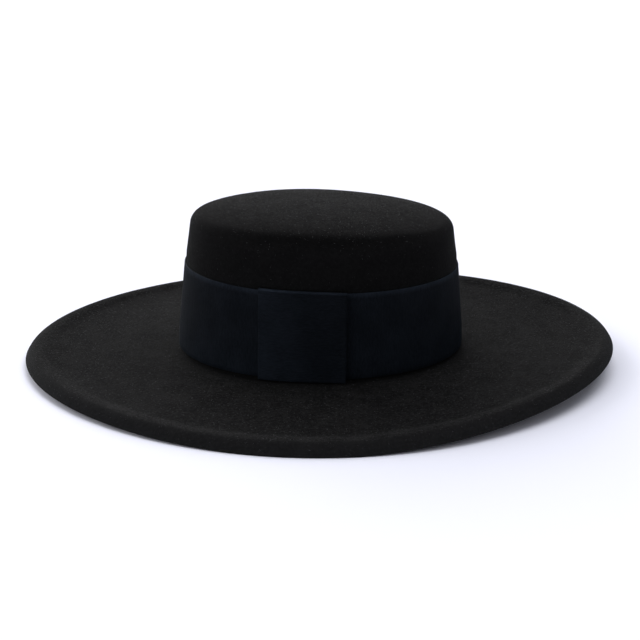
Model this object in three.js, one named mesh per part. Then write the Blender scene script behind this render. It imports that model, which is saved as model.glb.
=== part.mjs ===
// A wide-brim felt hat: an oval crown with a slightly domed top and rounded shoulder, a brim with a shallow
// trough and a rolled-down edge, a ribbed ribbon round the crown's foot, and a flat keeper over its join.
// Millimetres, +Z up. The wearer faces -X, so the wearer's left side is -Y, where the keeper sits.
// The origin is on the surface that the hat stands on, under the middle of the brim.
import * as THREE from "three";
import { mergeVertices } from "three/addons/utils/BufferGeometryUtils.js";

// Head size 57: an opening of 198 by 165.6 has a girth of 572.
const HEAD_LENGTH = 198;
const HEAD_WIDTH = 165.6;
const FELT = 2.2;
const RIBBON = 1;
const GAP = 0.3;

// The heights of the band's two edges, and of the bend where it follows the crown's foot.
const BAND = { bottom: 11.8, bend: 26, top: 72 };

// The crown's outer wall, from the foot up. inset is how far it stands in from the foot.
const WALL = [
  { at: "foot", inset: 0, height: 12.4 },
  { at: "above the foot", inset: 0.5, height: BAND.bend },
  { at: "under the band's top edge", inset: 4.6, height: BAND.top },
  { at: "swelling over the band", inset: 4.2, height: 76.5 },
  { at: "shoulder", inset: 7.2, height: 98.7 },
];
// The shoulder, which is rounder at the wearer's sides and so starts lower there.
const SHOULDER = {
  atEnds: { radius: 8.6, height: 98.7 },
  atSides: { radius: 20, height: 91.7 },
};
const WALL_LEAN = THREE.MathUtils.degToRad(8);
const TOP_SLOPE = THREE.MathUtils.degToRad(14);
const CROWN_TOP = 111.85;
const CROWN_TIP = 2.6; // the top is this much higher in front and lower behind
const CROWN_SHIFT = { foot: 0.8, top: 2 }; // how far the crown stands behind the brim's middle

// The brim, as its section is at the wearer's sides, where it rests. reach is measured out from the crown.
const BREAK_RADIUS = 3.1;
const BRIM_REACH = 109.2;
const BRIM_FOOT = 9.3;
const TROUGH = { reach: 86, height: 6.9 };
const LIP = { width: 8.2, drop: 8.3, dropAtEnds: 6.4 };
const LIP_ENDS_AT = THREE.MathUtils.degToRad(25); // where on its ellipse the lip is cut, up from level
const RISE_POWER = 1.5; // how late the brim starts to lift on its way out to the front and the back
const PLAN_WAVE = 1.85; // the brim reaches this much further at its ends and sides, and less between them

// The edge lies flat on the floor along the wearer's sides and lifts towards both ends. restsTo is where it
// leaves the floor, as a share of the way from the middle of the side to that end.
const EDGE_LIFTS = [
  { end: "back", way: 1, restsTo: 0.1, rise: 13, power: 1.15 },
  { end: "front", way: -1, restsTo: 0.25, rise: 4.4, power: 1.2 },
];

// The keeper, measured along the band from the middle of the wearer's left side.
const KEEPER = { width: 59, middle: -14.5, overlap: 1.4, fold: 1, proudFront: 0.6, proudBack: 3.2 };
const TUCK = { top: 0.8, bottom: 0.2 }; // how far its ends reach in over and under the band

// How many straight steps each curve is drawn in: round the hat, then along its section from the top out.
const SIDES = 64;
const STEPS = { top: 5, shoulder: 5, foot: 3, brim: 5, rise: 4, lip: 6, keeper: 10 };

const COLOURS = {
  felt: { color: 0x17181a, roughness: 0.95, metalness: 0 },
  ribbon: { color: 0x0b0d12, roughness: 0.75, metalness: 0 },
};

// The hat is drawn as a round one and then drawn out to an oval. These are the round one's sizes.
const FOOT_RADIUS = (HEAD_LENGTH + HEAD_WIDTH) / 4 + FELT;
const OVAL = (HEAD_LENGTH - HEAD_WIDTH) / 4;
const OVAL_FADES_WITHIN = 60;
const EDGE_RADIUS = FOOT_RADIUS + BRIM_REACH;
const CREST_RADIUS = EDGE_RADIUS - LIP.width;

// How far the oval's length and width differ from the round hat's at a radius: less near the crown's middle.
function ovalShift(radius) {
  return OVAL * Math.sin((Math.PI / 2) * Math.min(1, radius / OVAL_FADES_WITHIN));
}

// The height of the brim's edge at an angle from the back.
function edgeHeight(angle) {
  return EDGE_LIFTS.reduce((height, lift) => {
    const share = (lift.way * Math.cos(angle) - lift.restsTo) / (1 - lift.restsTo);
    return height + lift.rise * Math.max(0, share) ** lift.power;
  }, 0);
}

// How much the brim at a point of the side section is lifted at an angle from the back.
function brimLift(radius, height, angle) {
  const edge = edgeHeight(angle);
  const drop = THREE.MathUtils.lerp(LIP.dropAtEnds, LIP.drop, Math.sin(angle) ** 2);
  const crest = edge + drop - LIP.drop;
  if (radius <= CREST_RADIUS) {
    const outward = Math.max(0, radius - FOOT_RADIUS) / (CREST_RADIUS - FOOT_RADIUS);
    return crest * outward ** RISE_POWER;
  }
  const along = THREE.MathUtils.smoothstep(radius, CREST_RADIUS, EDGE_RADIUS - FELT);
  const fallen = (along * (LIP.drop - height)) / LIP.drop;
  return THREE.MathUtils.lerp(crest, edge, fallen);
}

// Moves a point of the round hat, given as radius, height and angle from the back, to its place.
function blocked(radius, height, angle) {
  const up = Math.max(0, (height - BRIM_FOOT) / (WALL.at(-1).height - BRIM_FOOT));
  const inCrown = radius < FOOT_RADIUS + BREAK_RADIUS ? up : 0;
  const outward = Math.max(0, radius - FOOT_RADIUS) / BRIM_REACH;
  const shift = THREE.MathUtils.lerp(CROWN_SHIFT.foot, CROWN_SHIFT.top, inCrown) * (1 - outward);
  const fuller = PLAN_WAVE * Math.cos(4 * angle) * outward ** 2;
  const across = Math.cos(angle);
  const tip = (-CROWN_TIP * across * radius * inCrown ** 2) / (FOOT_RADIUS - WALL.at(-1).inset);
  return new THREE.Vector3(
    (radius + ovalShift(radius) + fuller) * across + shift,
    (radius - ovalShift(radius) + fuller) * Math.sin(angle),
    height + brimLift(radius, height, angle) + tip,
  );
}

// Turns a closed outline of radius and height into a solid ring or cap, and blocks it to the hat's shape.
// The outline is the one at the wearer's sides. Towards the front and the back it changes to atEnds.
function turned(outline, atEnds = outline) {
  const geometry = new THREE.LatheGeometry(outline, SIDES);
  const position = geometry.getAttribute("position");
  for (let i = 0; i < position.count; i++) {
    const angle = -Math.atan2(position.getX(i), position.getZ(i));
    const row = i % outline.length;
    const point = outline[row].clone().lerp(atEnds[row], Math.cos(angle) ** 2);
    const place = blocked(point.x, point.y, angle);
    position.setXYZ(i, place.x, place.y, place.z);
  }
  return closed(geometry);
}

// Keeps positions only, so that the vertices that faces share are shared, and shades the faces smoothly.
function closed(geometry) {
  geometry.deleteAttribute("normal");
  geometry.deleteAttribute("uv");
  const merged = mergeVertices(geometry, 1e-3);
  merged.computeVertexNormals();
  return merged;
}

// The points of a curve, without its first, in a given number of steps.
function steps(curve, count) {
  return curve.getPoints(count).slice(1);
}

// The felt's outer skin, from the middle of the crown's top out to the brim's edge, with a given shoulder.
function skin(shoulder) {
  const centre = new THREE.Vector2(
    wallRadius(shoulder.height) - shoulder.radius * Math.cos(WALL_LEAN),
    shoulder.height - shoulder.radius * Math.sin(WALL_LEAN),
  );
  const level = new THREE.Vector2(0, shoulder.radius);
  const rim = level.rotateAround(new THREE.Vector2(), -TOP_SLOPE).add(centre);
  const top = new THREE.Vector2(0, CROWN_TOP);
  const bend = new THREE.Vector2(rim.x - (CROWN_TOP - rim.y) / Math.tan(TOP_SLOPE), CROWN_TOP);
  const rounding = arc(centre, shoulder.radius, shoulder.radius, Math.PI / 2 - TOP_SLOPE, WALL_LEAN);
  const wall = WALL.slice(0, -1).toReversed();
  const turn = new THREE.Vector2(FOOT_RADIUS + BREAK_RADIUS, BRIM_FOOT + BREAK_RADIUS);
  const flat = new THREE.Vector2(turn.x, BRIM_FOOT);
  const trough = new THREE.Vector2(FOOT_RADIUS + TROUGH.reach, TROUGH.height);
  const crest = new THREE.Vector2(CREST_RADIUS, LIP.drop);
  return [
    top,
    ...steps(new THREE.QuadraticBezierCurve(top, bend, rim), STEPS.top),
    ...steps(rounding, STEPS.shoulder),
    ...wall.map((row) => new THREE.Vector2(FOOT_RADIUS - row.inset, row.height)),
    ...steps(arc(turn, BREAK_RADIUS, BREAK_RADIUS, Math.PI, 1.5 * Math.PI), STEPS.foot),
    ...steps(eased(flat, trough), STEPS.brim),
    ...steps(eased(trough, crest), STEPS.rise),
    ...steps(lipArc(), STEPS.lip),
  ];
}

// The rolled-down edge, from its crest out to where the felt is cut: the upper part of a tall ellipse.
function lipArc() {
  const width = LIP.width / Math.cos(LIP_ENDS_AT);
  const height = LIP.drop / (1 - Math.sin(LIP_ENDS_AT));
  const centre = new THREE.Vector2(CREST_RADIUS, LIP.drop - height);
  return arc(centre, width, height, Math.PI / 2, LIP_ENDS_AT);
}

// Part of an ellipse about a centre, from one angle to another.
function arc(centre, width, height, from, to) {
  return new THREE.EllipseCurve(centre.x, centre.y, width, height, from, to, to < from);
}

// A curve that leaves one point level and reaches the next one level.
function eased(from, to) {
  const middle = (from.x + to.x) / 2;
  return new THREE.CubicBezierCurve(
    from,
    new THREE.Vector2(middle, from.y),
    new THREE.Vector2(middle, to.y),
    to,
  );
}

// The same line at a distance on its left, as the points are followed.
function beside(line, distance) {
  return line.map((point, i) => {
    const before = point.clone().sub(line[Math.max(0, i - 1)]).normalize();
    const after = line[Math.min(line.length - 1, i + 1)].clone().sub(point).normalize();
    const along = before.add(after).normalize();
    return new THREE.Vector2(point.x - along.y * distance, point.y + along.x * distance);
  });
}

// The outline of a felt wall of even thickness under a skin. Its edge is cut level, to lie on the floor.
function feltWall(outer) {
  const inner = beside(outer, -FELT);
  inner[0].x = 0;
  inner.at(-1).set(EDGE_RADIUS - FELT, 0);
  return [...outer, ...inner.reverse()];
}

// Crown and brim in one piece of felt, open below.
function feltBody() {
  return turned(feltWall(skin(SHOULDER.atSides)), feltWall(skin(SHOULDER.atEnds)));
}

// The radius of the crown's outer wall at a height.
function wallRadius(height) {
  const above = WALL.findIndex((row) => row.height >= height);
  if (above <= 0) {
    return FOOT_RADIUS;
  }
  const [low, high] = [WALL[above - 1], WALL[above]];
  const share = (height - low.height) / (high.height - low.height);
  return FOOT_RADIUS - THREE.MathUtils.lerp(low.inset, high.inset, share);
}

// The band: one closed loop of ribbon that follows the wall.
function hatBand() {
  const heights = [BAND.bottom, BAND.bend, BAND.top];
  const inside = heights.map((height) => new THREE.Vector2(wallRadius(height) + GAP, height));
  const outside = inside.map((point) => new THREE.Vector2(point.x + RIBBON, point.y));
  return turned([...outside, ...inside.reverse(), outside[0].clone()].reverse());
}

// The keeper: a flat length of ribbon whose ends fold in over the band's two edges. It is drawn as that
// section, drawn out to its width, and laid on the band, standing off it more towards the wearer's back.
function bandKeeper() {
  const low = BAND.bottom - KEEPER.overlap;
  const high = BAND.top + KEEPER.overlap;
  const section = new THREE.Shape([
    new THREE.Vector2(-TUCK.bottom, low),
    new THREE.Vector2(GAP + RIBBON - KEEPER.fold / 2, low),
    new THREE.Vector2(GAP + RIBBON, low + KEEPER.fold / 2),
    new THREE.Vector2(GAP + RIBBON, BAND.bend),
    new THREE.Vector2(GAP + RIBBON, high - KEEPER.fold / 2),
    new THREE.Vector2(GAP + RIBBON - KEEPER.fold / 2, high),
    new THREE.Vector2(-TUCK.top, high),
    new THREE.Vector2(-TUCK.top, high - RIBBON),
    new THREE.Vector2(GAP, high - RIBBON),
    new THREE.Vector2(GAP, BAND.bend),
    new THREE.Vector2(GAP, low + RIBBON),
    new THREE.Vector2(-TUCK.bottom, low + RIBBON),
  ]);
  const geometry = new THREE.ExtrudeGeometry(section, {
    depth: KEEPER.width,
    steps: STEPS.keeper,
    bevelEnabled: false,
  });
  const position = geometry.getAttribute("position");
  for (let i = 0; i < position.count; i++) {
    const out = position.getX(i);
    const height = position.getY(i);
    const along = KEEPER.width / 2 - position.getZ(i);
    const place = onBand(KEEPER.middle + along, out + standOff(along), height);
    position.setXYZ(i, place.x, place.y, place.z);
  }
  return closed(geometry);
}

// How far the keeper stands off the band at a distance along it from its own middle.
function standOff(along) {
  const share = along / (KEEPER.width / 2);
  return (along < 0 ? KEEPER.proudFront : KEEPER.proudBack) * share ** 2;
}

// The place at a distance out from the band's face, at a distance along it from the wearer's left middle.
function onBand(along, out, height) {
  const radius = wallRadius(THREE.MathUtils.clamp(height, BAND.bottom, BAND.top)) + GAP + RIBBON;
  const length = radius + OVAL;
  const width = radius - OVAL;
  const angle = Math.asin(along / length) - Math.PI / 2;
  const outward = new THREE.Vector3(width * Math.cos(angle), length * Math.sin(angle), 0).normalize();
  return blocked(radius, height, angle).addScaledVector(outward, out);
}

// A named mesh with one of the hat's colours.
function piece(name, geometry, colour) {
  const mesh = new THREE.Mesh(geometry, new THREE.MeshStandardMaterial(COLOURS[colour]));
  mesh.name = name;
  return mesh;
}

const hat = new THREE.Group();
hat.name = "wide_brim_hat";
hat.add(piece("felt_body", feltBody(), "felt"));
hat.add(piece("hat_band", hatBand(), "ribbon"));
hat.add(piece("band_keeper", bandKeeper(), "ribbon"));

export default hat;
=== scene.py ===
"""A wide-brim black felt hat on a pale floor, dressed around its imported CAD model.

Metres, +Z up. The wearer faces -X, and the wearer's left side, with the keeper, is -Y, towards the camera.
The felt is drawn by the same blocking rules as the part's source, only finer. The ribbons get real ribs.
"""

import logging
import math
from dataclasses import dataclass
from enum import Enum

import bpy
import numpy as np
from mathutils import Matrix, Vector, noise


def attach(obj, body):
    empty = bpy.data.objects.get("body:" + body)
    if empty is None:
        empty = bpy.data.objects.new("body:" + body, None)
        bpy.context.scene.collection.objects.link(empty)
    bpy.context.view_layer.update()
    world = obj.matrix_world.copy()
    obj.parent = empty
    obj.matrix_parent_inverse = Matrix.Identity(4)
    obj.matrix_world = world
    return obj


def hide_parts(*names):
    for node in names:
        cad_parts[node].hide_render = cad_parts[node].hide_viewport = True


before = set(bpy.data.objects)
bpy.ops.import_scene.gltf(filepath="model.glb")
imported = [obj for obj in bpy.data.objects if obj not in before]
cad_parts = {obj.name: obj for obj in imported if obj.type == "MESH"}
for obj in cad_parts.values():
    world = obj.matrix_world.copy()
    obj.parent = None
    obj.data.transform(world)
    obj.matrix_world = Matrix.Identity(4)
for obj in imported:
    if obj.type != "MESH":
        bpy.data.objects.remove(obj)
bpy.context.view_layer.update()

log = logging.getLogger("hat")
MM = 0.001
BODY = "root"
Colour = tuple[float, float, float]
Span = tuple[float, float]

# Names of the numbers that the meshes hold for their materials: what a colour is multiplied by, which is
# painted light and shade, and how strong the felt's grain is.
PAINTED_SHADING = "nap"
GRAIN = "grain"

# Names of the numbers that the meshes hold for the geometry nodes.
OUTSIDE = "outside"
ACROSS_RIBS = "across_ribs"
RIBBED = "ribbed"


class RibRun(Enum):
    """Which way a ribbon's ribs run on the hat."""

    UPRIGHT = "upright"
    LEVEL = "level"


class Ring(Enum):
    """A ring of the round hat: the top of the crown's wall, its foot, or the brim's crest or edge."""

    WALL_TOP = "wall top"
    FOOT = "foot"
    CREST = "crest"
    EDGE = "edge"


@dataclass(frozen=True)
class Step:
    """A value at a distance outwards from a ring. It changes evenly from one step to the next."""

    ring: Ring
    beyond: float
    value: float


# Curves of the felt's section, as rows of radius and height.


def eased(start: np.ndarray, end: np.ndarray, count: int) -> np.ndarray:
    """A curve that leaves one point level and reaches the next one level.

    Args:
        start: the first point, which is left out of the result.
        end: the last point.
        count: how many points to give.

    Returns:
        The points, as rows of radius and height.
    """
    t = np.linspace(0, 1, count + 1)[1:, None]
    middle = (start[0] + end[0]) / 2
    first = np.array([middle, start[1]])
    second = np.array([middle, end[1]])
    return (1 - t) ** 3 * start + 3 * t * (1 - t) ** 2 * first + 3 * t**2 * (1 - t) * second + t**3 * end


def bowed(start: np.ndarray, bend: np.ndarray, end: np.ndarray, count: int) -> np.ndarray:
    """A curve from start to end that is drawn towards bend. Its first point is left out."""
    t = np.linspace(0, 1, count + 1)[1:, None]
    return (1 - t) ** 2 * start + 2 * t * (1 - t) * bend + t**2 * end


def arc(centre: np.ndarray, width: float, height: float, start: float, end: float, count: int) -> np.ndarray:
    """Part of an ellipse, without its first point.

    Args:
        centre: the ellipse's middle.
        width: its half width.
        height: its half height.
        start: the angle where it begins, in radians.
        end: the angle where it ends.
        count: how many points to give.

    Returns:
        The points, as rows of radius and height.
    """
    angle = np.linspace(start, end, count + 1)[1:]
    return np.stack([centre[0] + width * np.cos(angle), centre[1] + height * np.sin(angle)], axis=1)


def beside(line: np.ndarray, distance: float) -> np.ndarray:
    """The same line at a distance to its side.

    Args:
        line: the line's points, as rows of radius and height.
        distance: how far to its left it is moved, as its points are followed.

    Returns:
        The moved points.
    """
    step = np.diff(line, axis=0)
    step /= np.linalg.norm(step, axis=1, keepdims=True)
    along = np.vstack([step[:1], step[1:] + step[:-1], step[-1:]])
    along /= np.linalg.norm(along, axis=1, keepdims=True)
    return line + distance * np.stack([-along[:, 1], along[:, 0]], axis=1)


def lengths_along(line: np.ndarray) -> np.ndarray:
    """How far along a line each of its points is."""
    return np.concatenate([[0], np.cumsum(np.linalg.norm(np.diff(line, axis=0), axis=1))])


@dataclass(frozen=True)
class Shoulder:
    """The rounding from the crown's wall to its top: its radius, and the height where the wall starts it."""

    radius: float
    height: float


@dataclass(frozen=True)
class SkinRows:
    """How many rows of points each part of the felt's skin has, from the middle of the top outwards."""

    top: int = 18
    shoulder: int = 12
    wall: int = 26
    foot: int = 5
    brim: int = 20
    rise: int = 10
    lip: int = 16


@dataclass(frozen=True)
class Block:
    """The shape that the felt is blocked to. It is a round hat, drawn out to an oval, tipped and rested.

    A wall row is how far the crown's outer wall stands in from the foot, and the height where it does.
    """

    head_length: float = 198 * MM
    head_width: float = 165.6 * MM
    felt: float = 2.2 * MM
    ribbon: float = 1 * MM
    gap: float = 0.3 * MM
    wall_insets: tuple[float, ...] = (0, 0.5 * MM, 4.6 * MM, 4.2 * MM, 7.2 * MM)
    wall_heights: tuple[float, ...] = (12.4 * MM, 26 * MM, 72 * MM, 76.5 * MM, 98.7 * MM)
    wall_softness: float = 2.5 * MM
    band_bottom: float = 11.8 * MM
    band_top: float = 72 * MM
    # How far the painted light and shade on the ribbons fade in from the band's foot and top.
    band_tones_fade: float = 20 * MM
    shoulder_at_ends: Shoulder = Shoulder(8.6 * MM, 98.7 * MM)
    shoulder_at_sides: Shoulder = Shoulder(20 * MM, 91.7 * MM)
    wall_lean: float = math.radians(8)
    top_slope: float = math.radians(14)
    crown_top: float = 111.85 * MM
    crown_tip: float = 2.6 * MM
    crown_shift_foot: float = 0.8 * MM
    crown_shift_top: float = 2 * MM
    break_radius: float = 3.1 * MM
    brim_reach: float = 109.2 * MM
    brim_foot: float = 9.3 * MM
    trough_reach: float = 86 * MM
    trough_height: float = 6.9 * MM
    lip_width: float = 8.2 * MM
    lip_drop: float = 8.3 * MM
    lip_drop_at_ends: float = 6.4 * MM
    lip_ends_at: float = math.radians(25)
    rise_power: float = 1.5
    plan_wave: float = 1.85 * MM
    back_rests_to: float = 0.1
    back_rise: float = 13 * MM
    back_power: float = 1.15
    front_rests_to: float = 0.25
    front_rise: float = 4.4 * MM
    front_power: float = 1.2
    oval_fades_within: float = 60 * MM
    rows: SkinRows = SkinRows()

    @property
    def foot(self) -> float:
        """The round hat's radius at the crown's foot."""
        return (self.head_length + self.head_width) / 4 + self.felt

    @property
    def oval(self) -> float:
        """How much longer and narrower than round the hat is, each way from the middle."""
        return (self.head_length - self.head_width) / 4

    @property
    def edge(self) -> float:
        """The round hat's radius at the brim's edge."""
        return self.foot + self.brim_reach

    @property
    def crest(self) -> float:
        """The round hat's radius where the brim starts to roll down."""
        return self.edge - self.lip_width

    @property
    def wall_top(self) -> float:
        """The round hat's radius at the top of the crown's wall."""
        return self.foot - self.wall_insets[-1]

    def wall(self, height: np.ndarray) -> np.ndarray:
        """The radius of the crown's outer wall at each height."""
        return self.foot - np.interp(height, self.wall_heights, self.wall_insets)

    def stepped(self, radius: np.ndarray, steps: tuple[Step, ...]) -> np.ndarray:
        """The value at each radius of the round hat.

        Args:
            radius: the radii.
            steps: the places where the value is known, from the middle outwards.

        Returns:
            The values, even inside the first step and outside the last.
        """
        rings = {
            Ring.WALL_TOP: self.wall_top,
            Ring.FOOT: self.foot,
            Ring.CREST: self.crest,
            Ring.EDGE: self.edge,
        }
        places = [rings[step.ring] + step.beyond for step in steps]
        return np.interp(radius, places, [step.value for step in steps])

    def up_band(self, height: np.ndarray, tones: tuple[float, ...], edge: Span) -> np.ndarray:
        """The painted light and shade on a ribbon at the crown's foot, at each height.

        Args:
            height: heights in the side section.
            tones: the painted tone at the band's foot, paler for light bounced up from the brim, at the
            end of its fade, at the start of the top's fade, and where the painted highlight along the top
            edge starts and is full.
            edge: how far above the band's top those last two are.

        Returns:
            What the ribbon's colour is multiplied by.
        """
        low, high, fade = self.band_bottom, self.band_top, self.band_tones_fade
        places = (low, low + fade, high - fade, high + edge[0], high + edge[1])
        return np.interp(height, places, tones)

    def oval_shift(self, radius: np.ndarray) -> np.ndarray:
        """How far the oval is from the round hat at each radius: less near the middle of the top."""
        return self.oval * np.sin(math.pi / 2 * np.minimum(1, radius / self.oval_fades_within))

    def edge_height(self, angle: np.ndarray) -> np.ndarray:
        """The height of the brim's edge, which rests at the wearer's two sides.

        Args:
            angle: angles from the back, in radians.

        Returns:
            The height at each of them.
        """
        back = np.maximum(0, (np.cos(angle) - self.back_rests_to) / (1 - self.back_rests_to))
        front = np.maximum(0, (-np.cos(angle) - self.front_rests_to) / (1 - self.front_rests_to))
        return self.back_rise * back**self.back_power + self.front_rise * front**self.front_power

    def brim_lift(self, radius: np.ndarray, height: np.ndarray, angle: np.ndarray) -> np.ndarray:
        """How much higher than at the wearer's sides the brim is.

        Args:
            radius: radii of the round hat.
            height: heights in the side section.
            angle: angles from the back, in radians.

        Returns:
            The lift at each of them.
        """
        edge = self.edge_height(angle)
        drop = self.lip_drop_at_ends + (self.lip_drop - self.lip_drop_at_ends) * np.sin(angle) ** 2
        crest = edge + drop - self.lip_drop
        outward = np.clip((radius - self.foot) / (self.crest - self.foot), 0, 1)
        way = np.clip((radius - self.crest) / (self.lip_width - self.felt), 0, 1)
        fallen = way**2 * (3 - 2 * way) * (self.lip_drop - height) / self.lip_drop
        on_lip = crest + (edge - crest) * fallen
        return np.where(radius <= self.crest, crest * outward**self.rise_power, on_lip)

    def blocked(self, radius: np.ndarray, height: np.ndarray, angle: np.ndarray) -> np.ndarray:
        """Moves points of the round hat to their places.

        Args:
            radius: radii of the round hat.
            height: heights in the side section.
            angle: angles from the back, in radians.

        Returns:
            The places, with x, y and z along the last axis.
        """
        top = self.wall_heights[-1]
        up = np.maximum(0, (height - self.brim_foot) / (top - self.brim_foot))
        in_crown = np.where(radius < self.foot + self.break_radius, up, 0)
        outward = np.maximum(0, radius - self.foot) / self.brim_reach
        shift = self.crown_shift_foot + (self.crown_shift_top - self.crown_shift_foot) * in_crown
        fuller = self.plan_wave * np.cos(4 * angle) * outward**2
        across = np.cos(angle)
        tip = -self.crown_tip * across * radius * in_crown**2 / self.wall_top
        oval = self.oval_shift(radius)
        x = (radius + oval + fuller) * across + shift * (1 - outward)
        y = (radius - oval + fuller) * np.sin(angle)
        z = height + self.brim_lift(radius, height, angle) + tip
        return np.stack(np.broadcast_arrays(x, y, z), axis=-1)

    def skin(self, shoulder: Shoulder) -> np.ndarray:
        """The felt's outer skin, from the middle of the top out to the brim's edge.

        Args:
            shoulder: the crown's shoulder in this section.

        Returns:
            The section's points, as rows of radius and height.
        """
        rows, radius, slope = self.rows, shoulder.radius, self.top_slope
        lean = np.array([math.cos(self.wall_lean), math.sin(self.wall_lean)])
        centre = np.array([self.wall(shoulder.height), shoulder.height]) - radius * lean
        rim = centre + radius * np.array([math.sin(slope), math.cos(slope)])
        top = np.array([0, self.crown_top])
        bend = np.array([rim[0] - (self.crown_top - rim[1]) / math.tan(slope), self.crown_top])
        turn = np.array([self.foot + self.break_radius, self.brim_foot + self.break_radius])
        flat = np.array([turn[0], self.brim_foot])
        trough = np.array([self.foot + self.trough_reach, self.trough_height])
        crest = np.array([self.crest, self.lip_drop])
        return np.vstack([
            top,
            bowed(top, bend, rim, rows.top),
            arc(centre, radius, radius, math.pi / 2 - slope, self.wall_lean, rows.shoulder),
            self.soft_wall(shoulder.height, rows.wall),
            arc(turn, self.break_radius, self.break_radius, math.pi, 1.5 * math.pi, rows.foot),
            eased(flat, trough, rows.brim),
            eased(trough, crest, rows.rise),
            self.lip(rows.lip),
        ])

    def lip(self, count: int) -> np.ndarray:
        """The brim's rolled-down edge, from its crest to where it is cut: the upper part of a tall ellipse.

        Args:
            count: how many points to give.

        Returns:
            The points, as rows of radius and height.
        """
        width = self.lip_width / math.cos(self.lip_ends_at)
        height = self.lip_drop / (1 - math.sin(self.lip_ends_at))
        centre = np.array([self.crest, self.lip_drop - height])
        return arc(centre, width, height, math.pi / 2, self.lip_ends_at, count)

    def soft_wall(self, start: float, count: int) -> np.ndarray:
        """The crown's wall from a height down to the foot, its bends softened as felt's are.

        Args:
            start: the height.
            count: how many points to give.

        Returns:
            The points, as rows of radius and height.
        """
        height = np.linspace(start, self.wall_heights[0], count + 1)[1:]
        spread = np.linspace(-self.wall_softness, self.wall_softness, 11)
        radius = np.mean([self.wall(height + shift) for shift in spread], axis=0)
        radius[-1] = self.foot
        return np.stack([radius, height], axis=1)


def fill_inputs(tree: bpy.types.NodeTree, node: bpy.types.Node, inputs: dict[str, object]) -> None:
    """Links sockets into a node's inputs, and sets plain values on them.

    Args:
        tree: the tree that holds the node.
        node: the node.
        inputs: what goes in, by name with an underscore for a space, or in0, in1 by place.
    """
    for key, value in inputs.items():
        by_place = key.startswith("in") and key[2:].isdigit()
        target = node.inputs[int(key[2:])] if by_place else node.inputs[key.replace("_", " ")]
        if isinstance(value, bpy.types.NodeSocket):
            tree.links.new(value, target)
        else:
            target.default_value = value


def add_node(
    tree: bpy.types.NodeTree, kind: str, settings: dict[str, object] | None = None, **inputs: object
) -> bpy.types.Node:
    """Adds a node to a tree.

    Args:
        tree: the tree.
        kind: the node's type.
        settings: its options.
        inputs: what goes into its inputs, as fill_inputs takes it.

    Returns:
        The node.
    """
    made = tree.nodes.new(kind)
    for name, option in (settings or {}).items():
        setattr(made, name, option)
    fill_inputs(tree, made, inputs)
    return made


class Shader:
    """A material with one Principled surface, and the few nodes that the finishes put together."""

    def __init__(self, name: str) -> None:
        """Starts a material on object coordinates.

        Args:
            name: what to call it.
        """
        self.material = bpy.data.materials.new(name)
        self.material.use_nodes = True
        self.tree = self.material.node_tree
        self.surface = self.tree.nodes["Principled BSDF"]
        self.place = add_node(self.tree, "ShaderNodeTexCoord").outputs["Object"]

    def set(self, **values: object) -> None:
        """Links or sets the surface's own sockets. An underscore stands for a space."""
        fill_inputs(self.tree, self.surface, values)

    def noise(
        self,
        scale: float,
        detail: float,
        roughness: float,
        distortion: float = 0,
        stretch: Colour = (1, 1, 1),
    ) -> bpy.types.NodeSocket:
        """Adds a noise pattern.

        Args:
            scale: how many grains fit in a metre.
            detail: how many finer layers it has.
            roughness: how strong the finer layers are.
            distortion: how far the grains are bent.
            stretch: how much closer the grains lie along each axis.

        Returns:
            The pattern's value.
        """
        mapping = add_node(self.tree, "ShaderNodeMapping", Scale=stretch, Vector=self.place)
        pattern = add_node(
            self.tree,
            "ShaderNodeTexNoise",
            Scale=scale,
            Detail=detail,
            Roughness=roughness,
            Distortion=distortion,
            Vector=mapping.outputs["Vector"],
        )
        return pattern.outputs["Fac"]

    def blend(
        self, first: bpy.types.NodeSocket, second: bpy.types.NodeSocket, share: float
    ) -> bpy.types.NodeSocket:
        """Mixes two patterns, with the second one's share."""
        return add_node(self.tree, "ShaderNodeMix", Factor=share, A=first, B=second).outputs["Result"]

    def mixed(self, share: bpy.types.NodeSocket, under: object, over: object) -> bpy.types.NodeSocket:
        """Mixes two colours, by the second one's share, which changes over the surface."""
        mix = add_node(self.tree, "ShaderNodeMix", {"data_type": "RGBA"}, Factor=share, A=under, B=over)
        return mix.outputs["Result"]

    def ramp(
        self, value: bpy.types.NodeSocket, dark: Colour, light: Colour, span: Span
    ) -> bpy.types.NodeSocket:
        """Turns a pattern into a colour.

        Args:
            value: the pattern.
            dark: the colour at and below the span's start.
            light: the colour at and above its end.
            span: the values between which the colour changes.

        Returns:
            The colour.
        """
        ramp = add_node(self.tree, "ShaderNodeValToRGB", Fac=value)
        for stop, place, colour in zip(ramp.color_ramp.elements, span, (dark, light)):
            stop.position = place
            stop.color = (*colour, 1)
        return ramp.outputs["Color"]

    def held(self, name: str) -> bpy.types.NodeSocket:
        """The numbers that the mesh holds under a name."""
        return add_node(self.tree, "ShaderNodeAttribute", {"attribute_name": name}).outputs["Fac"]

    def toned(self, colour: bpy.types.NodeSocket) -> bpy.types.NodeSocket:
        """Multiplies a colour by the painted light and shade that the mesh holds."""
        scaling = {"operation": "SCALE"}
        scaled = add_node(self.tree, "ShaderNodeVectorMath", scaling, in0=colour, Scale=self.held(PAINTED_SHADING))
        return scaled.outputs["Vector"]

    def bump(self, height: bpy.types.NodeSocket, strength: float, distance: float) -> bpy.types.NodeSocket:
        """Makes a pattern stand up from the surface, to a distance in metres."""
        bump = add_node(self.tree, "ShaderNodeBump", Strength=strength, Distance=distance, Height=height)
        return bump.outputs["Normal"]


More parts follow.
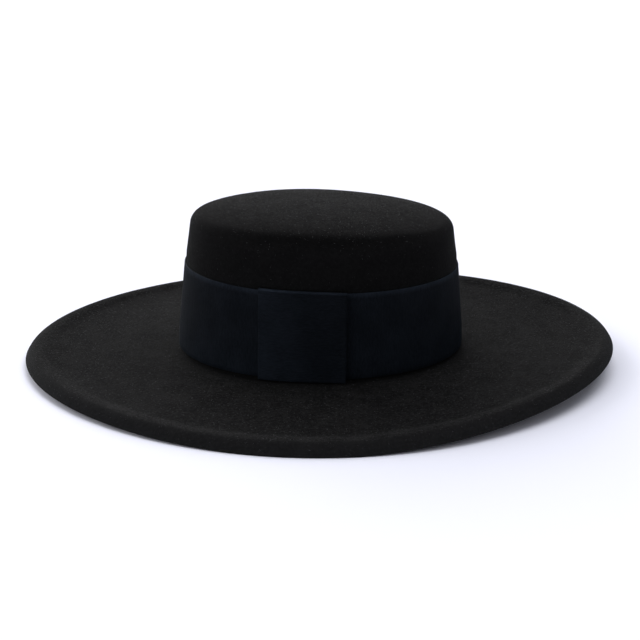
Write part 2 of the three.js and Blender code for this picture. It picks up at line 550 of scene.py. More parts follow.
@dataclass(frozen=True)
class FeltFinish:
    """Black wool felt: a short, fuzzy nap, a little cloudy and flecked, and paler where light grazes it."""

    dark: Colour = (0.0008, 0.0008, 0.0009)
    middle: Colour = (0.0062, 0.0062, 0.0063)
    light: Colour = (0.0118, 0.0116, 0.0115)
    fleck: Colour = (0.045, 0.045, 0.046)
    cloud_scale: float = 75
    cloud_share: float = 0.25
    mottle_scale: float = 490
    mottle_span: Span = (0.44, 0.56)
    fleck_scale: float = 660
    fleck_span: Span = (0.66, 0.76)
    nap_scale: float = 2300
    nap_height: float = 0.35 * MM
    nap_strength: float = 0.8
    roughness: float = 0.95
    gloss: float = 0.02
    sheen: float = 0.03
    sheen_roughness: float = 0.3

    def material(self, name: str) -> bpy.types.Material:
        """Makes the felt's material.

        Args:
            name: what to call it.

        Returns:
            The material, on object coordinates.
        """
        made = Shader(name)
        cloud = made.noise(self.cloud_scale, detail=3, roughness=0.5)
        mottle = made.noise(self.mottle_scale, detail=4, roughness=0.65)
        fleck = made.noise(self.fleck_scale, detail=1, roughness=0.5)
        nap = made.noise(self.nap_scale, detail=3, roughness=0.7, distortion=0.6)
        tone = made.blend(mottle, cloud, self.cloud_share)
        ground = made.ramp(tone, self.dark, self.light, self.mottle_span)
        flecks = made.ramp(fleck, (0, 0, 0), (1, 1, 1), self.fleck_span)
        flecked = made.mixed(flecks, ground, (*self.fleck, 1))
        grainy = made.mixed(made.held(GRAIN), (*self.middle, 1), flecked)
        made.set(Base_Color=made.toned(grainy), Normal=made.bump(nap, self.nap_strength, self.nap_height))
        made.set(Roughness=self.roughness, Specular_IOR_Level=self.gloss)
        made.set(Sheen_Weight=self.sheen, Sheen_Roughness=self.sheen_roughness)
        return made.material


@dataclass(frozen=True)
class RibbonFinish:
    """Blue-black ribbed ribbon with a faint gloss along each rib."""

    dark: Colour = (0.003, 0.0042, 0.006)
    light: Colour = (0.0068, 0.0088, 0.0122)
    thread_scale: float = 1500
    thread_squeeze: float = 0.2
    thread_height: float = 0.1 * MM
    thread_strength: float = 0.35
    thread_span: Span = (0.35, 0.7)
    cloud_scale: float = 60
    cloud_share: float = 0.4
    roughness: float = 0.7
    gloss: float = 0.04

    def material(self, name: str, run: RibRun) -> bpy.types.Material:
        """Makes the ribbon's material.

        Args:
            name: what to call it.
            run: which way the ribs run, since the threads follow them.

        Returns:
            The material, on object coordinates.
        """
        made = Shader(name)
        long = self.thread_squeeze
        stretch = (1, 1, long) if run is RibRun.UPRIGHT else (long, long, 1)
        thread = made.noise(self.thread_scale, detail=2, roughness=0.6, stretch=stretch)
        cloud = made.noise(self.cloud_scale, detail=2, roughness=0.5)
        tone = made.blend(thread, cloud, self.cloud_share)
        woven = made.ramp(tone, self.dark, self.light, self.thread_span)
        bumps = made.bump(thread, self.thread_strength, self.thread_height)
        made.set(Base_Color=made.toned(woven), Normal=bumps)
        made.set(Roughness=self.roughness, Specular_IOR_Level=self.gloss)
        return made.material


@dataclass(frozen=True)
class LintFinish:
    """Pale grey wool fibres and dust that have caught in the nap."""

    light: Colour = (0.15, 0.15, 0.155)
    dark_share: float = 0.45
    tone_scale: float = 300
    tone_span: Span = (0.35, 0.65)
    roughness: float = 0.9
    gloss: float = 0.2

    def material(self, name: str) -> bpy.types.Material:
        """Makes the lint's material, a little uneven in tone from fibre to fibre.

        Args:
            name: what to call it.

        Returns:
            The material, on object coordinates.
        """
        made = Shader(name)
        tone = made.noise(self.tone_scale, detail=1, roughness=0.5)
        dark = tuple(self.dark_share * part for part in self.light)
        made.set(Base_Color=made.ramp(tone, dark, self.light, self.tone_span))
        made.set(Roughness=self.roughness, Specular_IOR_Level=self.gloss)
        return made.material


def new_object(name: str, points: np.ndarray, faces: list[tuple[int, ...]]) -> bpy.types.Object:
    """Makes a smooth-shaded mesh object at the origin, its faces turned outwards.

    Args:
        name: what to call the object.
        points: one row of x, y and z for each vertex.
        faces: the vertices of each face. Together they close a solid.

    Returns:
        The object, linked to the scene.
    """
    corners = [(face[0], face[i], face[i + 1]) for face in faces for i in range(1, len(face) - 1)]
    a, b, c = points[np.array(corners)].transpose(1, 0, 2)
    if np.einsum("ij,ij->i", a, np.cross(b, c)).sum() < 0:
        faces = [face[::-1] for face in faces]
    mesh = bpy.data.meshes.new(name)
    mesh.from_pydata(points.tolist(), [], faces)
    mesh.shade_smooth()
    made = bpy.data.objects.new(name, mesh)
    bpy.context.scene.collection.objects.link(made)
    return made


def grid_faces(rows: int, columns: int, round_rows: bool, round_columns: bool) -> list[tuple[int, ...]]:
    """The four-sided faces of a grid of vertices, counted along the columns of each row in turn.

    Args:
        rows: how many rows it has.
        columns: how many vertices a row has.
        round_rows: whether the last row joins the first.
        round_columns: whether a row's last vertex joins its first.

    Returns:
        The faces.
    """
    row = np.arange(rows if round_rows else rows - 1)[:, None]
    column = np.arange(columns if round_columns else columns - 1)[None, :]
    here, below = row * columns, (row + 1) % rows * columns
    right = (column + 1) % columns
    corners = np.broadcast_arrays(here + column, here + right, below + right, below + column)
    return [tuple(face) for face in np.stack(corners, axis=-1).reshape(-1, 4).tolist()]


def add_values(made: bpy.types.Object, name: str, values: np.ndarray) -> None:
    """Stores one number for each vertex of an object's mesh under a name."""
    held = made.data.attributes.new(name, "FLOAT", "POINT")
    held.data.foreach_set("value", values.astype(np.float32).ravel())


class NodeTree:
    """A Geometry Nodes tree with named inputs, used once on one object and then turned into plain mesh."""

    def __init__(self, name: str) -> None:
        """Starts a tree with one geometry input and output.

        Args:
            name: what to call it.
        """
        self.tree = bpy.data.node_groups.new(name, "GeometryNodeTree")
        self.tree.interface.new_socket("Geometry", in_out="INPUT", socket_type="NodeSocketGeometry")
        self.tree.interface.new_socket("Geometry", in_out="OUTPUT", socket_type="NodeSocketGeometry")
        self.values: dict[str, object] = {}
        self.start = self.tree.nodes.new("NodeGroupInput")
        self.end = self.tree.nodes.new("NodeGroupOutput")

    def given(self, name: str, kind: str, value: object) -> bpy.types.NodeSocket:
        """Adds a named input.

        Args:
            name: the input's name.
            kind: its socket type, such as Float.
            value: what this object sets it to.

        Returns:
            The socket to link from.
        """
        socket = self.tree.interface.new_socket(name, in_out="INPUT", socket_type=f"NodeSocket{kind}")
        self.values[socket.identifier] = value
        return self.start.outputs[name]

    def node(self, kind: str, settings: dict[str, object] | None = None, **inputs: object) -> bpy.types.Node:
        """Adds a node, as add_node does. Its type goes without the prefix GeometryNode where it has that."""
        full = kind if kind.startswith(("Shader", "Function")) else f"GeometryNode{kind}"
        return add_node(self.tree, full, settings, **inputs)

    def math(self, operation: str, first: object, second: object = 0.0) -> bpy.types.NodeSocket:
        """One step of arithmetic on numbers."""
        return self.node("ShaderNodeMath", {"operation": operation}, in0=first, in1=second).outputs[0]

    def held(self, name: str) -> bpy.types.NodeSocket:
        """The numbers that the mesh holds under a name."""
        return self.node("InputNamedAttribute", {"data_type": "FLOAT"}, Name=name).outputs["Attribute"]

    def random(self, **inputs: object) -> bpy.types.NodeSocket:
        """A random number for each point, from 0 to 1 unless Min or Max says otherwise."""
        return self.node("FunctionNodeRandomValue", {"data_type": "FLOAT"}, **inputs).outputs["Value"]

    def finish(self, geometry: bpy.types.NodeSocket, material: bpy.types.Material) -> None:
        """Ends the tree with realised instances in one material.

        Args:
            geometry: what the tree has made.
            material: the material of all of it.
        """
        slot = self.given("Finish", "Material", material)
        real = self.node("RealizeInstances", Geometry=geometry)
        dressed = self.node("SetMaterial", Geometry=real.outputs["Geometry"], Material=slot)
        self.tree.links.new(dressed.outputs["Geometry"], self.end.inputs["Geometry"])

    def applied(self, base: bpy.types.Object, name: str) -> bpy.types.Object:
        """Runs the tree on an object.

        Args:
            base: the object that goes in. It is left as it was.
            name: what to call the result.

        Returns:
            A new object with the result as plain mesh.
        """
        modifier = base.modifiers.new(name, "NODES")
        modifier.node_group = self.tree
        for identifier, value in self.values.items():
            modifier[identifier] = value
        base.update_tag()
        graph = bpy.context.evaluated_depsgraph_get()
        graph.update()
        mesh = bpy.data.meshes.new_from_object(base.evaluated_get(graph), depsgraph=graph)
        base.modifiers.remove(modifier)
        mesh.name = name
        made = bpy.data.objects.new(name, mesh)
        bpy.context.scene.collection.objects.link(made)
        return made


@dataclass(frozen=True)
class Lint:
    """Short, bent fibres scattered over the felt's outer skin, most of them where it faces up."""

    finish: LintFinish = LintFinish()
    per_area: float = 56000
    least_upward: float = 0.03
    length: float = 0.8 * MM
    radius: float = 0.05 * MM
    sideways: float = 0.7
    smallest: float = 0.35
    points: int = 4
    sides: int = 3
    seed: int = 11

    def build(self, felt: bpy.types.Object) -> bpy.types.Object:
        """Makes the fibres.

        Args:
            felt: the felt, whose mesh holds OUTSIDE.

        Returns:
            The fibres, as one piece.
        """
        tree = NodeTree("felt_lint_scatter")
        density = tree.given("Fibres Per Area", "Float", self.per_area)
        length = tree.given("Fibre Length", "Float", self.length)
        radius = tree.given("Fibre Radius", "Float", self.radius)
        seed = tree.given("Seed", "Int", self.seed)
        normal = tree.node("InputNormal").outputs["Normal"]
        facing = tree.node("ShaderNodeSeparateXYZ", Vector=normal).outputs["Z"]
        upward = tree.math("MAXIMUM", facing, self.least_upward)
        spots = tree.node(
            "DistributePointsOnFaces",
            Mesh=tree.start.outputs["Geometry"],
            Selection=tree.math("GREATER_THAN", tree.held(OUTSIDE), 0.5),
            Density=tree.math("MULTIPLY", density, upward),
            Seed=seed,
        )
        half = tree.math("MULTIPLY", length, 0.5)
        ends = [tree.node("ShaderNodeCombineXYZ", X=tree.math("MULTIPLY", half, way)) for way in (-1.0, 1.0)]
        middle = tree.node("ShaderNodeCombineXYZ", Y=tree.math("MULTIPLY", half, self.sideways), Z=half)
        bent = tree.node(
            "CurveQuadraticBezier",
            Resolution=self.points,
            Start=ends[0].outputs[0],
            Middle=middle.outputs[0],
            End=ends[1].outputs[0],
        )
        ring = tree.node("CurvePrimitiveCircle", Resolution=self.sides, Radius=radius)
        fibre = tree.node(
            "CurveToMesh", Curve=bent.outputs[0], Profile_Curve=ring.outputs[0], Fill_Caps=True
        )
        turn = tree.node("ShaderNodeCombineXYZ", Z=tree.random(Seed=seed, Max=2 * math.pi))
        lie = tree.node(
            "FunctionNodeRotateRotation",
            {"rotation_space": "LOCAL"},
            Rotation=spots.outputs["Rotation"],
            Rotate_By=tree.node("FunctionNodeEulerToRotation", Euler=turn.outputs[0]).outputs[0],
        )
        scattered = tree.node(
            "InstanceOnPoints",
            Points=spots.outputs["Points"],
            Instance=fibre.outputs[0],
            Rotation=lie.outputs[0],
            Scale=tree.random(Seed=seed, Min=self.smallest, Max=1.0),
        )
        tree.finish(scattered.outputs[0], self.finish.material("lint_grey"))
        made = tree.applied(felt, "felt_lint")
        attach(made, BODY)
        return made


@dataclass
class FeltBody:
    """Crown and brim: one felt wall of even thickness, slightly uneven to the hand, with lint in its nap.

    nap is what the colour is multiplied by, and is painted light and shade: painted shade on the crown's top
    and wall, and painted light on the lip. painted_far_light is painted light and shade on the top: how much
    paler it is painted towards the wearer's right, which faces the strongest light, and darker towards the
    left, than in its middle. grain is how strong the felt's mottling is: strong where it lies flat, and
    faint on the wall and the lip.
    """

    block: Block
    finish: FeltFinish = FeltFinish()
    lint: Lint = Lint()
    sides: int = 300
    edge_round: float = 0.5 * MM
    wave_height: float = 0.45 * MM
    wave_length: float = 55 * MM
    wave_fade: float = 12 * MM
    band_clearance: float = 4 * MM
    # Painted light and shade: darker on the crown's top and wall, paler towards and over the lip.
    nap: tuple[Step, ...] = (
        Step(Ring.WALL_TOP, -8 * MM, 0.8),
        Step(Ring.WALL_TOP, -1 * MM, 0.9),
        Step(Ring.FOOT, 4 * MM, 0.9),
        Step(Ring.FOOT, 12 * MM, 1),
        Step(Ring.CREST, -12 * MM, 1),
        Step(Ring.CREST, 0, 1.6),
        Step(Ring.EDGE, 0, 2.15),
    )
    # Painted light and shade on the top: paler towards the wearer's right, darker towards the left.
    painted_far_light: tuple[Step, ...] = (
        Step(Ring.WALL_TOP, -8 * MM, 0.6),
        Step(Ring.WALL_TOP, -1 * MM, 0),
    )
    grain: tuple[Step, ...] = (
        Step(Ring.WALL_TOP, -20 * MM, 0.88),
        Step(Ring.WALL_TOP, -6 * MM, 0.16),
        Step(Ring.FOOT, 2 * MM, 0.16),
        Step(Ring.FOOT, 8 * MM, 0.6),
        Step(Ring.CREST, -2 * MM, 0.6),
        Step(Ring.CREST, 2 * MM, 0.14),
    )

    def outline(self, shoulder: Shoulder) -> tuple[np.ndarray, int]:
        """The whole section: the outer skin, the cut edge, and the inner skin back to the middle.

        Args:
            shoulder: the crown's shoulder in this section.

        Returns:
            The section's points, and how many of them are the outer skin's.
        """
        outer = self.block.skin(shoulder)
        inner = beside(outer, -self.block.felt)
        inner[0, 0] = 0
        small = self.edge_round
        turn = small * (1 - math.sqrt(0.5))
        out, back = self.block.edge, self.block.edge - self.block.felt
        outer[-1] = (out, small)
        inner[-1] = (back, small)
        cut = np.array([
            (out - turn, turn),
            (out - small, 0),
            (back + small, 0),
            (back + turn, turn),
        ])
        return np.vstack([outer, cut, inner[::-1]]), len(outer)

    def waves(self, place: np.ndarray, radius: np.ndarray) -> np.ndarray:
        """How far the felt is out of true: not at all under the band or where the edge rests.

        Args:
            place: points on the outer skin, with x, y and z along the last axis.
            radius: the round hat's radius at each of them.

        Returns:
            The distance along the skin's normal at each point.
        """
        flat = place.reshape(-1, 3) / self.wave_length
        bumps = np.array([noise.noise(Vector(point)) for point in flat]).reshape(place.shape[:2])
        foot = self.block.foot + 2 * self.block.break_radius
        clear_of_band = self.block.band_top + self.band_clearance
        under_band = (radius < foot) & (place[..., 2] < clear_of_band)
        from_edge = np.clip((self.block.edge - radius) / (2 * self.block.lip_width), 0, 1)
        beyond_foot = np.clip((radius - foot) / self.wave_fade, 0, 1)
        above_band = np.clip((place[..., 2] - clear_of_band) / self.wave_fade, 0, 1)
        share = np.where(under_band, 0, 1) * from_edge**2 * np.maximum(beyond_foot, above_band)
        return self.wave_height * bumps * share

    def normals(self, skin: np.ndarray) -> np.ndarray:
        """The directions straight out of the outer skin.

        Args:
            skin: its points, by row of the section and by side. The first row is the pole.

        Returns:
            A direction of length 1 for each of them.
        """
        along = np.gradient(skin, axis=0)
        around = np.roll(skin, -1, axis=1) - np.roll(skin, 1, axis=1)
        normal = np.cross(around, along)
        normal /= np.maximum(np.linalg.norm(normal, axis=-1, keepdims=True), 1e-12)
        # A row on the crown's top tells which way is out.
        on_top = len(skin) // 6
        normal *= np.sign(normal[on_top, 0, 2])
        normal[0] = (0, 0, 1)
        return normal

    def tones(self, radius: np.ndarray, across: np.ndarray) -> np.ndarray:
        """The painted light and shade that the felt's colour is multiplied by.

        Args:
            radius: the round hat's radius at each point.
            across: how far to the wearer's right each point lies.

        Returns:
            The tone at each point.
        """
        far_light = self.block.stepped(radius, self.painted_far_light) * across / self.block.foot
        return self.block.stepped(radius, self.nap) * (1 + far_light)

    def build(self) -> list[bpy.types.Object]:
        """Makes the felt and its lint.

        Returns:
            The pieces.
        """
        at_sides, skin_rows = self.outline(self.block.shoulder_at_sides)
        at_ends, _ = self.outline(self.block.shoulder_at_ends)
        angle = np.linspace(0, 2 * math.pi, self.sides, endpoint=False)[None, :]
        to_ends = np.cos(angle) ** 2
        pairs = zip(at_sides.T, at_ends.T)
        radius, height = (side[:, None] * (1 - to_ends) + end[:, None] * to_ends for side, end in pairs)
        place = self.block.blocked(radius, height, angle)
        outer = place[:skin_rows]
        move = self.normals(outer) * self.waves(outer, radius[:skin_rows])[..., None]
        place[:skin_rows] += move
        place[-skin_rows:] += move[::-1]
        made = self.closed(place)
        outside = np.zeros(len(made.data.vertices))
        outside[1 : 1 + (skin_rows - 1) * self.sides] = 1
        add_values(made, OUTSIDE, outside)
        self.hold(made, PAINTED_SHADING, self.tones(radius[1:-1], place[1:-1, :, 1]))
        self.hold(made, GRAIN, self.block.stepped(radius[1:-1], self.grain))
        made.data.materials.append(self.finish.material("felt_black"))
        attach(made, BODY)
        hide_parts("felt_body")
        return [made, self.lint.build(made)]

    def hold(self, made: bpy.types.Object, name: str, values: np.ndarray) -> None:
        """Stores numbers for the felt's rows of points under a name, with 1 at its two poles."""
        add_values(made, name, np.concatenate([[1], values.ravel(), [1]]))

    def closed(self, place: np.ndarray) -> bpy.types.Object:
        """Makes the mesh, with a single vertex at each of its two poles.

        Args:
            place: the points, by row of the section and by side. The first and last rows are the poles.

        Returns:
            The object.
        """
        rows = place[1:-1]
        points = np.vstack([place[0, :1], rows.reshape(-1, 3), place[-1, :1]])
        faces = [tuple(1 + v for v in face) for face in grid_faces(len(rows), self.sides, False, True)]
        last = len(points) - 1
        first_of_last = last - self.sides
        for i in range(self.sides):
            after = (i + 1) % self.sides
            faces.append((0, 1 + after, 1 + i))
            faces.append((last, first_of_last + i, first_of_last + after))
        return new_object("felt_crown_and_brim", points, faces)


@dataclass(frozen=True)
class Ribs:
    """A ribbon's ribs: how far apart and deep they are, and how much of its depth one may lack."""

    spacing: float = 1.15 * MM
    depth: float = 0.22 * MM
    unevenness: float = 0.3
    seed: int = 5
    steps: int = 4

    def raised(self, plain: bpy.types.Object, name: str, material: bpy.types.Material) -> bpy.types.Object:
        """Raises the ribs from a ribbon's plain mesh, and takes the plain mesh away.

        Args:
            plain: the plain ribbon, whose mesh holds ACROSS_RIBS in metres and RIBBED from 0 to 1.
            name: what to call the result.
            material: the ribbon's finish.

        Returns:
            The ribbed ribbon.
        """
        tree = NodeTree(f"{name}_ribs")
        spacing = tree.given("Rib Spacing", "Float", self.spacing)
        depth = tree.given("Rib Depth", "Float", self.depth)
        uneven = tree.given("Unevenness", "Float", self.unevenness)
        seed = tree.given("Seed", "Int", self.seed)
        turns = tree.math("DIVIDE", tree.held(ACROSS_RIBS), spacing)
        # The thousandth keeps a rib's first point from being rounded down into the rib before it.
        index = tree.math("FLOOR", tree.math("ADD", turns, 0.001))
        hump = tree.math("ABSOLUTE", tree.math("SINE", tree.math("MULTIPLY", turns, math.pi)))
        lacking = tree.math("MULTIPLY", tree.random(ID=index, Seed=seed), uneven)
        size = tree.math("SUBTRACT", 1.0, lacking)
        here = tree.math("MULTIPLY", depth, tree.held(RIBBED))
        lift = tree.math("MULTIPLY", tree.math("MULTIPLY", hump, size), here)
        normal = tree.node("InputNormal").outputs["Normal"]
        move = tree.node("ShaderNodeVectorMath", {"operation": "SCALE"}, in0=normal, Scale=lift)
        geometry = tree.start.outputs["Geometry"]
        raised = tree.node("SetPosition", Geometry=geometry, Offset=move.outputs["Vector"])
        tree.finish(raised.outputs["Geometry"], material)
        made = tree.applied(plain, name)
        bpy.data.objects.remove(plain)
        return made


@dataclass
class HatBand:
    """The wide ribbon round the crown's foot, its ribs upright."""

    block: Block
    finish: RibbonFinish = RibbonFinish()
    ribs: Ribs = Ribs()
    face_rows: int = 18
    round_rows: int = 3
    back_rows: int = 4
    path_steps: int = 4000
    ribs_fade: tuple[float, ...] = (0.9, 0.6, 0.2)
    # Painted light and shade up the band: paler near its foot, for light bounced up from the brim, and a
    # painted highlight along its top edge.
    tones: tuple[float, ...] = (1.9, 1.25, 0.95, 0.95, 2.2)
    painted_highlight_at: Span = (-1.4 * MM, -0.7 * MM)

    def section(self) -> tuple[np.ndarray, np.ndarray]:
        """The ribbon's section, out from the wall, and how ribbed each of its points is.

        Returns:
            Rows of distance from the wall and height, and one share for each.
        """
        low, high = self.block.band_bottom, self.block.band_top
        half = self.block.ribbon / 2
        middle = self.block.gap + half
        face = np.linspace(low + half, high - half, self.face_rows)
        outer = np.stack([np.full(self.face_rows, self.block.gap + 2 * half), face], axis=1)
        over = arc(np.array([middle, high - half]), half, half, 0, math.pi, 2 * self.round_rows)
        under = arc(np.array([middle, low + half]), half, half, math.pi, 2 * math.pi, 2 * self.round_rows)
        down = np.linspace(high, low, self.back_rows + 2)[1:-1]
        back = np.stack([np.full(self.back_rows, self.block.gap), down], axis=1)
        points = np.vstack([outer, over, back, under[:-1]])
        share = np.zeros(len(points))
        share[: self.face_rows] = 1
        share[self.face_rows : self.face_rows + len(self.ribs_fade)] = self.ribs_fade
        return points, share

    def build(self) -> list[bpy.types.Object]:
        """Makes the band.

        Returns:
            The piece, in a list.
        """
        block, ribs = self.block, self.ribs
        turn = np.linspace(0, 2 * math.pi, self.path_steps + 1)
        half_way = np.array((block.band_bottom + block.band_top) / 2)
        length = lengths_along(block.blocked(block.wall(half_way), half_way, turn))
        count = round(length[-1] / ribs.spacing) * ribs.steps
        angle = np.interp(np.arange(count) / count * length[-1], length, turn)
        section, share = self.section()
        radius = (block.wall(section[:, 1]) + section[:, 0])[:, None]
        place = block.blocked(radius, section[:, 1:], angle[None, :])
        plain = new_object("plain_band", place.reshape(-1, 3), grid_faces(len(section), count, True, True))
        across = np.tile(np.arange(count) / ribs.steps, len(section)) * ribs.spacing
        add_values(plain, ACROSS_RIBS, across)
        add_values(plain, RIBBED, np.repeat(share, count))
        add_values(plain, PAINTED_SHADING, np.repeat(block.up_band(section[:, 1], self.tones, self.painted_highlight_at), count))
        made = ribs.raised(plain, "ribbed_band", self.finish.material("ribbon_upright", RibRun.UPRIGHT))
        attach(made, BODY)
        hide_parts("hat_band")
        return [made]


@dataclass
class BandKeeper:
    """The flat length of ribbon over the band's join, its ribs level and its ends folded over the edges.

    Shares of the width run from -1 at the keeper's front edge to 1 at its back one.
    """

    block: Block
    finish: RibbonFinish = RibbonFinish()
    ribs: Ribs = Ribs()
    width: float = 59 * MM
    middle: float = -14.5 * MM
    overlap: float = 1.4 * MM
    proud_front: float = 0.6 * MM
    proud_back: float = 3.2 * MM
    tuck_top: float = 0.8 * MM
    tuck_bottom: float = 0.2 * MM
    fold: float = 0.9 * MM
    inner_fold: float = 0.05 * MM
    fold_points: int = 8
    columns: int = 44
    crowding: float = 1.35
    edge_round: float = 0.35 * MM
    edge_round_share: float = 0.015
    ribs_end_share: float = 0.012
    # Painted light and shade up the keeper: paler near its foot, for light bounced up from the brim, and a
    # painted highlight along its top fold.
    tones: tuple[float, ...] = (1.7, 1.2, 0.95, 0.95, 2.4)
    painted_highlight_at: Span = (0, 0.7 * MM)
    # Painted shading across the keeper: paler at its front edge and darker towards its back edge.
    painted_shading_across: tuple[float, ...] = (1.4, 1.15, 0.88, 0.8)
    painted_shading_across_at: tuple[float, ...] = (-0.9, -0.3, 0.2, 0.9)

    def line(self, inset: float, fold: float) -> np.ndarray:
        """A line up the keeper's section, as rows of distance from the band's face and height.

        Args:
            inset: how far inside the outer face the line runs.
            fold: the radius of its two folds.

        Returns:
            Its points, evenly spaced, a few to each rib.
        """
        out = self.block.gap + self.block.ribbon - inset
        low = self.block.band_bottom - self.overlap + inset
        high = self.block.band_top + self.overlap - inset
        below, above = np.array([out - fold, low + fold]), np.array([out - fold, high - fold])
        corners = np.vstack([
            (-self.tuck_bottom, low),
            (out - fold, low),
            arc(below, fold, fold, -math.pi / 2, 0, self.fold_points),
            (out, above[1]),
            arc(above, fold, fold, 0, math.pi / 2, self.fold_points),
            (-self.tuck_top, high),
        ])
        length = lengths_along(corners)
        count = round(self.path_length() / self.ribs.spacing) * self.ribs.steps
        even = np.linspace(0, length[-1], count + 1)
        return np.stack([np.interp(even, length, corners[:, axis]) for axis in (0, 1)], axis=1)

    def path_length(self) -> float:
        """About how long the keeper's ribbon is from end to end."""
        return self.block.band_top - self.block.band_bottom + 2 * self.overlap + 2 * self.block.ribbon

    def on_band(self, along: np.ndarray, out: np.ndarray, height: np.ndarray) -> np.ndarray:
        """Places on the band.

        Args:
            along: the distance along the band from the middle of the wearer's left side.
            out: the distance out from the band's face.
            height: the height in the side section.

        Returns:
            The places, with x, y and z along the last axis.
        """
        on_wall = np.clip(height, self.block.band_bottom, self.block.band_top)
        radius = self.block.wall(on_wall) + self.block.gap + self.block.ribbon
        length, width = radius + self.block.oval, radius - self.block.oval
        angle = np.arcsin(along / length) - math.pi / 2
        outward = np.stack([width * np.cos(angle), length * np.sin(angle), 0 * angle], axis=-1)
        outward /= np.linalg.norm(outward, axis=-1, keepdims=True)
        return self.block.blocked(radius, height, angle) + outward * out[..., None]

    def faces(self, rows: int, outer_rows: int) -> list[tuple[int, ...]]:
        """The faces of the keeper's grid, closed at its front and back edges.

        Args:
            rows: how many rows of vertices go round its section.
            outer_rows: how many of them are on the outer face. The inner ones run back beside them.

        Returns:
            The faces.
        """
        columns = self.columns
        faces = grid_faces(rows, columns, True, False)
        for side in (0, columns - 1):
            for i in range(outer_rows - 1):
                corners = (i, i + 1, rows - 2 - i, rows - 1 - i)
                face = tuple(row * columns + side for row in corners)
                faces.append(face if side else face[::-1])
        return faces

    def build(self) -> list[bpy.types.Object]:
        """Makes the keeper.

        Returns:
            The piece, in a list.
        """
        outer = self.line(0, self.fold)
        inner = self.line(self.block.ribbon, self.inner_fold)[::-1]
        path = np.vstack([outer, inner])
        on_face = np.concatenate([np.ones(len(outer)), np.zeros(len(inner))])[:, None]
        even = np.linspace(-1, 1, self.columns)
        share = (np.sign(even) * (1 - (1 - np.abs(even)) ** self.crowding))[None, :]
        from_edge = 1 - np.abs(share)
        along = share * self.width / 2
        proud = np.where(along < 0, self.proud_front, self.proud_back) * share**2
        thin = self.edge_round * np.clip(1 - from_edge / self.edge_round_share, 0, 1) ** 2
        out = path[:, :1] + proud - on_face * thin
        height = np.broadcast_to(path[:, 1:], out.shape)
        place = self.on_band(self.middle + np.broadcast_to(along, out.shape), out, height)
        plain = new_object("plain_keeper", place.reshape(-1, 3), self.faces(len(path), len(outer)))
        across = np.concatenate([np.arange(len(outer)), np.zeros(len(inner))]) / self.ribs.steps
        add_values(plain, ACROSS_RIBS, np.repeat(across * self.ribs.spacing, self.columns))
        add_values(plain, RIBBED, on_face * np.clip(from_edge / self.ribs_end_share, 0, 1))
        up = self.block.up_band(height, self.tones, self.painted_highlight_at)
        add_values(plain, PAINTED_SHADING, up * np.interp(share, self.painted_shading_across_at, self.painted_shading_across))
        made = self.ribs.raised(plain, "ribbed_keeper", self.finish.material("ribbon_level", RibRun.LEVEL))
        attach(made, BODY)
        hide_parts("band_keeper")
        return [made]


@dataclass(frozen=True)
class Glow:
    """A part of the sky that grows softly brighter towards one direction.

    starts and full are the cosines of the angles from that direction where the light begins and is full.
    """

    name: str
    towards: tuple[float, float, float]
    starts: float
    full: float
    strength: float
    tint: Colour = (1, 1, 1)

    def light(self, tree: bpy.types.NodeTree) -> bpy.types.NodeSocket:
        """Makes the light in a world's nodes.

        Args:
            tree: the world's nodes.

        Returns:
            The light, as a shader.
        """
        looked = add_node(tree, "ShaderNodeTexCoord").outputs["Generated"]
        towards = Vector(self.towards).normalized()
        product = {"operation": "DOT_PRODUCT"}
        facing = add_node(tree, "ShaderNodeVectorMath", product, in0=looked, in1=towards)
        fade = add_node(
            tree,
            "ShaderNodeMapRange",
            {"interpolation_type": "SMOOTHSTEP"},
            Value=facing.outputs["Value"],
            From_Min=self.starts,
            From_Max=self.full,
            To_Max=self.strength,
        )
        lit = {"Color": (*self.tint, 1), "Strength": fade.outputs["Result"]}
        return add_node(tree, "ShaderNodeBackground", {"label": self.name}, **lit).outputs["Background"]


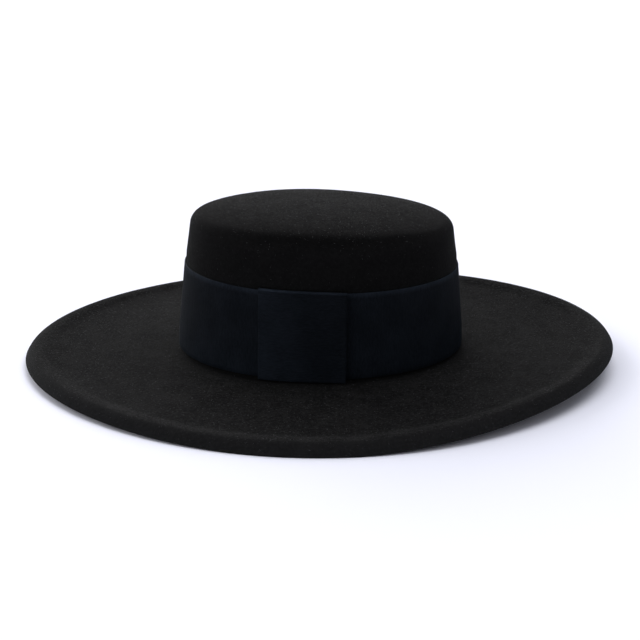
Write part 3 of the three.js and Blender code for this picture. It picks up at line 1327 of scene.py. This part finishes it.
@dataclass
class Studio:
    """A pale floor, soft light that is brightest above and behind, and the photograph's viewpoint."""

    floor_size: float = 14
    floor_colour: Colour = (0.92, 0.92, 1.0)
    glows: tuple[Glow, ...] = (
        Glow("all round", (0, 0, 1), -1, -0.99, 0.17, (0.82, 0.87, 1)),
        Glow("overhead", (0.25, 0.45, 1), 0.8, 0.97, 2.8, (0.96, 0.97, 1)),
        Glow("low behind", (-0.15, 1, 0.21), 0.88, 0.99, 4.5),
        Glow("low behind left", (-0.68, 0.73, 0.34), 0.88, 0.99, 5),
        Glow("left", (-1, 0, 0.47), 0.88, 0.99, 0.8),
        Glow("front left", (-0.75, -0.65, 0.45), 0.88, 0.99, 1.7),
        Glow("right", (1, -0.2, 0.47), 0.88, 0.99, 0.85),
    )
    camera_at: tuple[float, float, float] = (-0.02308, -1.23436, 0.43525)
    camera_aim: tuple[float, float, float] = (0.00051, 0, 0.02667)
    sensor: float = 36
    lens: float = 100.74

    def build(self) -> None:
        """Makes the floor, the light and the camera, with tones shown as they fall."""
        bpy.context.scene.view_settings.view_transform = "Standard"
        self.floor()
        self.sky()
        self.camera()

    def floor(self) -> None:
        """Makes the pale floor that the hat rests on."""
        half = self.floor_size / 2
        corners = [(-half, -half, 0), (half, -half, 0), (half, half, 0), (-half, half, 0)]
        mesh = bpy.data.meshes.new("floor")
        mesh.from_pydata(corners, [], [(0, 1, 2, 3)])
        made = bpy.data.objects.new("floor", mesh)
        bpy.context.scene.collection.objects.link(made)
        shader = Shader("floor_pale")
        shader.set(Base_Color=(*self.floor_colour, 1), Roughness=1.0, Specular_IOR_Level=0.0)
        made.data.materials.append(shader.material)

    def sky(self) -> None:
        """Makes the light: a soft dome with a few broad glows, the brightest of them behind the hat."""
        world = bpy.data.worlds.new("soft_dome")
        world.use_nodes = True
        bpy.context.scene.world = world
        tree = world.node_tree
        light = self.glows[0].light(tree)
        for glow in self.glows[1:]:
            light = add_node(tree, "ShaderNodeAddShader", in0=light, in1=glow.light(tree)).outputs["Shader"]
        tree.links.new(light, tree.nodes["World Output"].inputs["Surface"])

    def camera(self) -> None:
        """Sets the camera at the photograph's angle above the floor."""
        data = bpy.data.cameras.new("photo_view")
        data.sensor_width = self.sensor
        data.lens = self.lens
        made = bpy.data.objects.new("photo_view", data)
        made.location = self.camera_at
        made.rotation_mode = "QUATERNION"
        towards = Vector(self.camera_aim) - Vector(self.camera_at)
        made.rotation_quaternion = towards.to_track_quat("-Z", "Y")
        bpy.context.scene.collection.objects.link(made)
        bpy.context.scene.camera = made


def main() -> None:
    """Builds the studio and then the hat, piece by piece."""
    logging.basicConfig(level=logging.INFO, format="%(message)s")
    Studio().build()
    block = Block()
    for assembly in (FeltBody(block), HatBand(block), BandKeeper(block)):
        for piece in assembly.build():
            log.info("%s: %d faces", piece.name, len(piece.data.polygons))


if __name__ == "__main__":
    main()
